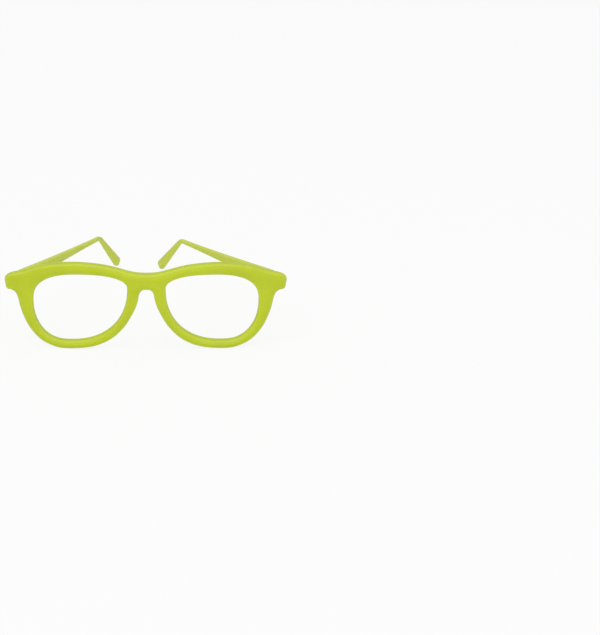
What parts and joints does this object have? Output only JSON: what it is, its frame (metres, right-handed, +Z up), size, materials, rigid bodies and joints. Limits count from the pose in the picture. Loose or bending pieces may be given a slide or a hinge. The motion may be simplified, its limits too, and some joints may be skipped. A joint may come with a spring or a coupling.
{
  "type": "eyeglass frame",
  "caption": "Moulded plastic eyeglass frame with no lenses, tapered temples that fold on small screwed metal hinges.",
  "frame": {"origin": "centre of the box round the open glasses, on the table under them", "axes": "+X to the wearer's left, +Y back along the temples, +Z up from the table"},
  "size_m": [0.1452, 0.134, 0.0488],
  "materials": {
    "front_plastic": "moulded, satin gloss",
    "temple_plastic": "moulded, satin gloss",
    "hinge_steel": "plated, satin",
    "screw_steel": "plated"
  },
  "bodies": {
    "front": {"front_frame": "front_plastic", "left_front_hinge": "hinge_steel", "right_front_hinge": "hinge_steel", "left_hinge_screw": "screw_steel", "right_hinge_screw": "screw_steel"},
    "left_temple": {"left_temple": "temple_plastic", "left_temple_hinge": "hinge_steel"},
    "right_temple": {"right_temple": "temple_plastic", "right_temple_hinge": "hinge_steel"}
  },
  "joints": [
    {"name": "left_fold", "type": "hinge", "parent": "front", "child": "left_temple", "pos_m": [0.06215, -0.04946, 0.03548], "axis": [0, -0.0786, 0.9969], "range_deg": [-24, 54]},
    {"name": "right_fold", "type": "hinge", "parent": "front", "child": "right_temple", "pos_m": [-0.06215, -0.04946, 0.03548], "axis": [0, 0.0786, -0.9969], "range_deg": [-19, 65]}
  ]
}
